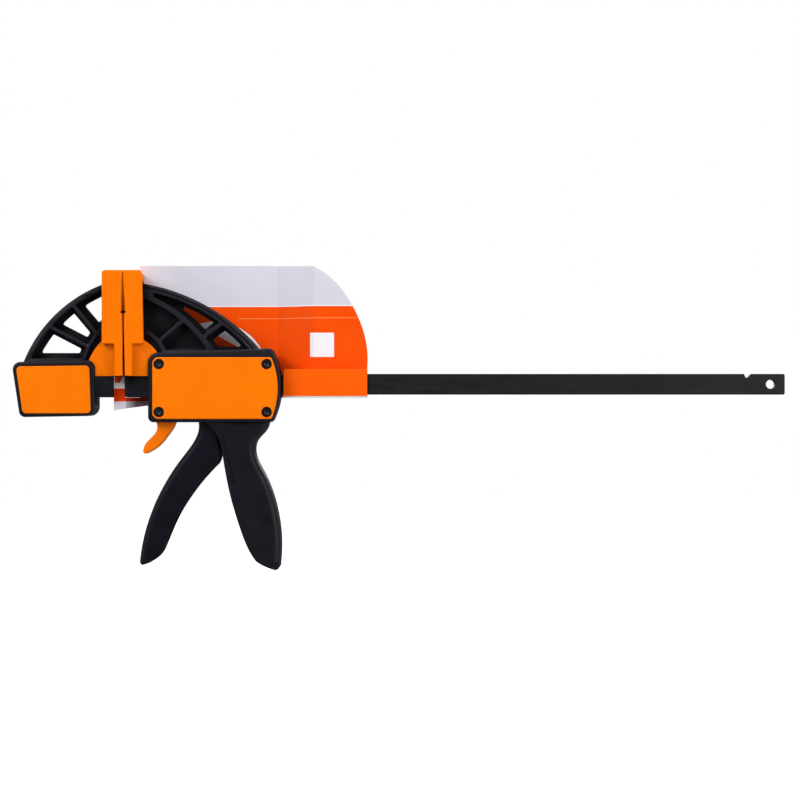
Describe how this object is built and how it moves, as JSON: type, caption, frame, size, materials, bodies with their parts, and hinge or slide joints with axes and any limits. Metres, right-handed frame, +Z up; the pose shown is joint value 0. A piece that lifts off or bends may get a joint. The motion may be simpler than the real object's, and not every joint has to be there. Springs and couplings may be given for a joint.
{
  "type": "quick release bar clamp",
  "caption": "Quick release bar clamp with padded arched jaws, squeeze handle, release trigger and a removable retail card on the bar.",
  "frame": {"origin": "on the bar's axis, in the plane where the two pads meet when the clamp is closed", "axes": "+X along the bar from the fixed jaw to the bar's free end, +Z up the jaws, away from the grip"},
  "size_m": [0.4994, 0.0336, 0.1981],
  "materials": {
    "bar_steel": "rolled steel bar, black finish, satin",
    "black_plastic": "moulded glass-filled nylon, fine satin texture",
    "orange_plastic": "moulded plate, smooth satin gloss",
    "pad_rubber": "soft moulded pad, satin",
    "handle_plastic": "moulded glass-filled nylon, fine satin texture",
    "trigger_plastic": "moulded, satin gloss",
    "bright_steel": "zinc plated, satin",
    "hardened_steel": "hardened, stamped edges",
    "spring_wire": "drawn spring wire",
    "black_screw": "black oxide",
    "printed_card": "coated printed card, light grey band over orange"
  },
  "bodies": {
    "fixed_jaw": {"bar": "bar_steel", "fixed_jaw_frame": "black_plastic", "fixed_jaw_inset_front": "orange_plastic", "fixed_jaw_inset_rear": "orange_plastic", "fixed_pad": "pad_rubber", "bar_roll_pin": "bright_steel", "bar_notch_pin": "bright_steel"},
    "sliding_jaw": {"slide_jaw_frame": "black_plastic", "housing_cover_front": "orange_plastic", "housing_cover_rear": "orange_plastic", "cover_screws": "black_screw", "cover_nuts": "bright_steel", "slide_pad": "pad_rubber", "handle_pivot_pin": "bright_steel", "drive_spring": "spring_wire", "brake_spring": "spring_wire", "retail_card": "printed_card"},
    "handle": {"squeeze_handle": "handle_plastic"},
    "drive": {"drive_plate_1": "hardened_steel", "drive_plate_2": "hardened_steel", "drive_plate_3": "hardened_steel", "drive_spring_seat": "bright_steel"},
    "brake": {"brake_plate": "hardened_steel", "release_trigger": "trigger_plastic"}
  },
  "joints": [
    {"name": "jaw_slide", "type": "slide", "parent": "fixed_jaw", "child": "sliding_jaw", "axis": [1, 0, 0], "range_m": [0, 0.3]},
    {"name": "handle_squeeze", "type": "hinge", "parent": "sliding_jaw", "child": "handle", "pos_m": [0.057, 0, 0.013], "axis": [0, -1, 0], "range_deg": [0, 18], "stiffness_Nm_per_rad": 0.46, "springref_deg": -29.79},
    {"name": "drive_slide", "type": "slide", "parent": "sliding_jaw", "child": "drive", "axis": [1, 0, 0], "range_m": [0, 0.0076], "deforming": ["drive_spring"]},
    {"name": "trigger_release", "type": "hinge", "parent": "sliding_jaw", "child": "brake", "pos_m": [0.032, 0, 0.0125], "axis": [0, -1, 0], "range_deg": [0, 6], "stiffness_Nm_per_rad": 0.55, "springref_deg": -9.74, "deforming": ["brake_spring"]}
  ],
  "couplings": [
    {"joint": "drive_slide", "follows": "handle_squeeze", "m_per_rad": 0.0239}
  ]
}
